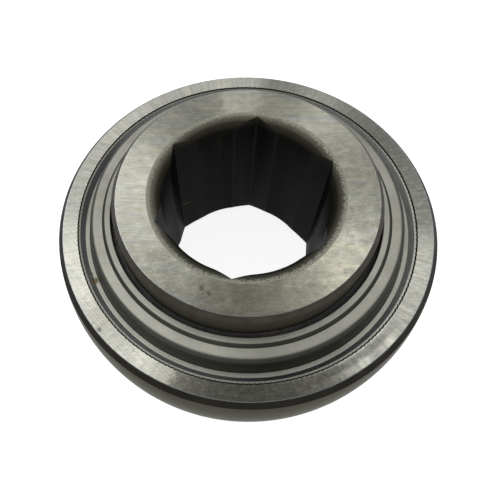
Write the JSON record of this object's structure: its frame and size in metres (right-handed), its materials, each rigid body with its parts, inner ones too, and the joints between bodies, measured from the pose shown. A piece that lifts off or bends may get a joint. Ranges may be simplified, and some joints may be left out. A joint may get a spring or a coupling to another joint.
{
  "type": "hex bore ball bearing",
  "caption": "Sealed ball bearing with a wide inner ring, a hexagonal bore, a spherical outer ring and stepped steel shrouds.",
  "frame": {"origin": "centre of the bearing, on its axis and half way between the two faces", "axes": "+Z along the bearing's axis, towards the side with the rounded mouth; one corner of the hexagonal bore points along +Y"},
  "size_m": [0.08, 0.08, 0.0366],
  "materials": {
    "ring_steel": "ground",
    "hub_steel": "ground",
    "ball_steel": "polished",
    "cage_steel": "pressed",
    "rivet_steel": "pressed",
    "shroud_steel": "satin",
    "cap_steel": "satin",
    "seal_rubber": "matt"
  },
  "bodies": {
    "outer_ring": {"outer_ring": "ring_steel", "seal_shroud_upper": "shroud_steel", "seal_shroud_lower": "shroud_steel", "seal_cap_upper": "cap_steel", "seal_cap_lower": "cap_steel", "seal_lips_upper": "seal_rubber", "seal_lips_lower": "seal_rubber"},
    "inner_ring": {"inner_ring": "hub_steel"},
    "cage": {"cage_half_upper": "cage_steel", "cage_half_lower": "cage_steel", "cage_rivets": "rivet_steel"},
    "ball_1": {"ball_1": "ball_steel"},
    "ball_2": {"ball_2": "ball_steel"},
    "ball_3": {"ball_3": "ball_steel"},
    "ball_4": {"ball_4": "ball_steel"},
    "ball_5": {"ball_5": "ball_steel"},
    "ball_6": {"ball_6": "ball_steel"},
    "ball_7": {"ball_7": "ball_steel"},
    "ball_8": {"ball_8": "ball_steel"},
    "ball_9": {"ball_9": "ball_steel"}
  },
  "joints": [
    {"name": "inner_ring_spin", "type": "hinge", "parent": "outer_ring", "child": "inner_ring", "pos_m": [0, 0, 0], "axis": [0, 0, 1], "continuous": true},
    {"name": "cage_spin", "type": "hinge", "parent": "outer_ring", "child": "cage", "pos_m": [0, 0, 0], "axis": [0, 0, 1], "continuous": true},
    {"name": "ball_1_spin", "type": "hinge", "parent": "cage", "child": "ball_1", "pos_m": [0.03, 0, 0], "axis": [0, 0, 1], "continuous": true},
    {"name": "ball_2_spin", "type": "hinge", "parent": "cage", "child": "ball_2", "pos_m": [0.02298, 0.01928, 0], "axis": [0, 0, 1], "continuous": true},
    {"name": "ball_3_spin", "type": "hinge", "parent": "cage", "child": "ball_3", "pos_m": [0.00521, 0.02954, 0], "axis": [0, 0, 1], "continuous": true},
    {"name": "ball_4_spin", "type": "hinge", "parent": "cage", "child": "ball_4", "pos_m": [-0.015, 0.02598, 0], "axis": [0, 0, 1], "continuous": true},
    {"name": "ball_5_spin", "type": "hinge", "parent": "cage", "child": "ball_5", "pos_m": [-0.02819, 0.01026, 0], "axis": [0, 0, 1], "continuous": true},
    {"name": "ball_6_spin", "type": "hinge", "parent": "cage", "child": "ball_6", "pos_m": [-0.02819, -0.01026, 0], "axis": [0, 0, 1], "continuous": true},
    {"name": "ball_7_spin", "type": "hinge", "parent": "cage", "child": "ball_7", "pos_m": [-0.015, -0.02598, 0], "axis": [0, 0, 1], "continuous": true},
    {"name": "ball_8_spin", "type": "hinge", "parent": "cage", "child": "ball_8", "pos_m": [0.00521, -0.02954, 0], "axis": [0, 0, 1], "continuous": true},
    {"name": "ball_9_spin", "type": "hinge", "parent": "cage", "child": "ball_9", "pos_m": [0.02298, -0.01928, 0], "axis": [0, 0, 1], "continuous": true}
  ],
  "couplings": [
    {"joint": "cage_spin", "follows": "inner_ring_spin", "ratio": 0.40078},
    {"joint": "ball_1_spin", "follows": "inner_ring_spin", "ratio": -2.4205},
    {"joint": "ball_2_spin", "follows": "inner_ring_spin", "ratio": -2.4205},
    {"joint": "ball_3_spin", "follows": "inner_ring_spin", "ratio": -2.4205},
    {"joint": "ball_4_spin", "follows": "inner_ring_spin", "ratio": -2.4205},
    {"joint": "ball_5_spin", "follows": "inner_ring_spin", "ratio": -2.4205},
    {"joint": "ball_6_spin", "follows": "inner_ring_spin", "ratio": -2.4205},
    {"joint": "ball_7_spin", "follows": "inner_ring_spin", "ratio": -2.4205},
    {"joint": "ball_8_spin", "follows": "inner_ring_spin", "ratio": -2.4205},
    {"joint": "ball_9_spin", "follows": "inner_ring_spin", "ratio": -2.4205}
  ]
}
